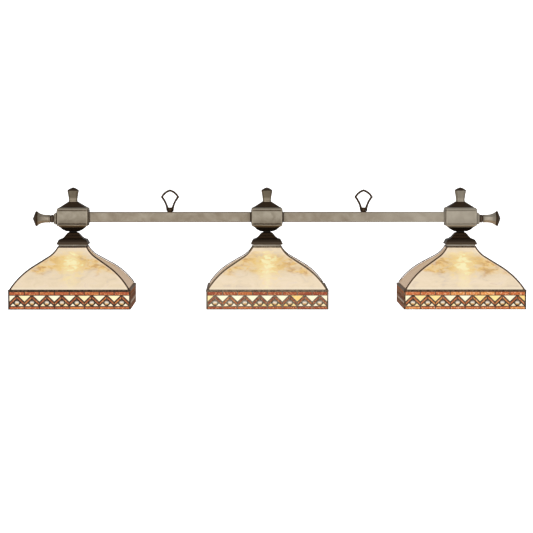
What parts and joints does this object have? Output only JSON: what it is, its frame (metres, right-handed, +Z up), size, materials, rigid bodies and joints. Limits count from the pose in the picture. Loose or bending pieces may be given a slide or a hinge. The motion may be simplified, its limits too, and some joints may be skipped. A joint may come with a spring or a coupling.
{
  "type": "pool table lamp",
  "caption": "Billiard table lamp: a square bar with cast hubs and finials, hung by kite-shaped loops, carrying square leaded-glass shades with a patterned band.",
  "frame": {"origin": "midway between the bearing points of the two hanging loops, 72.6 mm above the bar's axis", "axes": "+X along the bar, +Z up along the pull of the chains, +Y to the back"},
  "size_m": [1.4152, 0.3352, 0.3304],
  "materials": {
    "bar_pewter": "brushed antique pewter, slightly mottled, darker at the hubs",
    "cast_pewter": "cast and antiqued pewter with dark wear in the corners",
    "dark_bronze": "dark bronze, satin, lighter along worn edges",
    "steel": "plain zinc-plated steel",
    "brass": "plain brass",
    "wire_jacket": "brown flexible jacket",
    "socket_phenolic": "moulded black phenolic",
    "bulb_glass": "frosted white, lit",
    "bulb_metal": "bright screw base",
    "lead_came": "soldered lead came with dark patina",
    "panel_glass": "opalescent cream glass with amber clouds, lit from inside",
    "amber_glass": "mottled amber to red opalescent glass",
    "cream_glass": "cream and pale yellow opalescent glass",
    "jewel_glass": "domed pressed glass jewel, clear to straw yellow"
  },
  "bodies": {
    "bar_frame": {"bar_tube_left": "bar_pewter", "bar_tube_right": "bar_pewter", "hub_cores": "steel", "bar_screws": "steel", "lead_wires": "wire_jacket", "lamp_nipples": "brass", "locknuts": "steel", "end_plates": "cast_pewter", "end_collars": "dark_bronze", "end_finials": "cast_pewter", "neck_collars": "dark_bronze", "screw_shells": "brass", "hub_body_left": "cast_pewter", "hub_body_center": "cast_pewter", "hub_body_right": "cast_pewter", "hub_top_cover_left": "dark_bronze", "hub_top_cover_center": "dark_bronze", "hub_top_cover_right": "dark_bronze", "hub_bottom_cover_left": "dark_bronze", "hub_bottom_cover_center": "dark_bronze", "hub_bottom_cover_right": "dark_bronze", "top_finial_left": "cast_pewter", "top_finial_center": "cast_pewter", "top_finial_right": "cast_pewter", "socket_body_left": "socket_phenolic", "socket_body_center": "socket_phenolic", "socket_body_right": "socket_phenolic"},
    "hang_loop_left": {"hang_loop_left": "dark_bronze", "loop_boss_left": "dark_bronze"},
    "hang_loop_right": {"hang_loop_right": "dark_bronze", "loop_boss_right": "dark_bronze"},
    "shade_left": {"shade_cap_left": "dark_bronze", "shade_frame_left": "lead_came", "panel_glass_left": "panel_glass", "band_cames_left": "lead_came", "band_amber_left": "amber_glass", "band_cream_left": "cream_glass", "band_jewels_left": "jewel_glass"},
    "bulb_left": {"bulb_glass_left": "bulb_glass", "bulb_base_left": "bulb_metal"},
    "shade_center": {"shade_cap_center": "dark_bronze", "shade_frame_center": "lead_came", "panel_glass_center": "panel_glass", "band_cames_center": "lead_came", "band_amber_center": "amber_glass", "band_cream_center": "cream_glass", "band_jewels_center": "jewel_glass"},
    "bulb_center": {"bulb_glass_center": "bulb_glass", "bulb_base_center": "bulb_metal"},
    "shade_right": {"shade_cap_right": "dark_bronze", "shade_frame_right": "lead_came", "panel_glass_right": "panel_glass", "band_cames_right": "lead_came", "band_amber_right": "amber_glass", "band_cream_right": "cream_glass", "band_jewels_right": "jewel_glass"},
    "bulb_right": {"bulb_glass_right": "bulb_glass", "bulb_base_right": "bulb_metal"}
  },
  "joints": [
    {"name": "loop_swivel_left", "type": "hinge", "parent": "bar_frame", "child": "hang_loop_left", "pos_m": [-0.27, 0, -0.0586], "axis": [0, 0, 1], "range_deg": [-180, 180]},
    {"name": "loop_swivel_right", "type": "hinge", "parent": "bar_frame", "child": "hang_loop_right", "pos_m": [0.27, 0, -0.0586], "axis": [0, 0, 1], "range_deg": [-180, 180]},
    {"name": "shade_swivel_left", "type": "hinge", "parent": "bar_frame", "child": "shade_left", "pos_m": [-0.54, 0, -0.1153], "axis": [0, 0, 1], "continuous": true},
    {"name": "bulb_turn_left", "type": "hinge", "parent": "bar_frame", "child": "bulb_left", "pos_m": [-0.54, 0, -0.173], "axis": [0, 0, 1], "continuous": true},
    {"name": "shade_swivel_center", "type": "hinge", "parent": "bar_frame", "child": "shade_center", "pos_m": [0, 0, -0.1153], "axis": [0, 0, 1], "continuous": true},
    {"name": "bulb_turn_center", "type": "hinge", "parent": "bar_frame", "child": "bulb_center", "pos_m": [0, 0, -0.173], "axis": [0, 0, 1], "continuous": true},
    {"name": "shade_swivel_right", "type": "hinge", "parent": "bar_frame", "child": "shade_right", "pos_m": [0.54, 0, -0.1153], "axis": [0, 0, 1], "continuous": true},
    {"name": "bulb_turn_right", "type": "hinge", "parent": "bar_frame", "child": "bulb_right", "pos_m": [0.54, 0, -0.173], "axis": [0, 0, 1], "continuous": true}
  ]
}
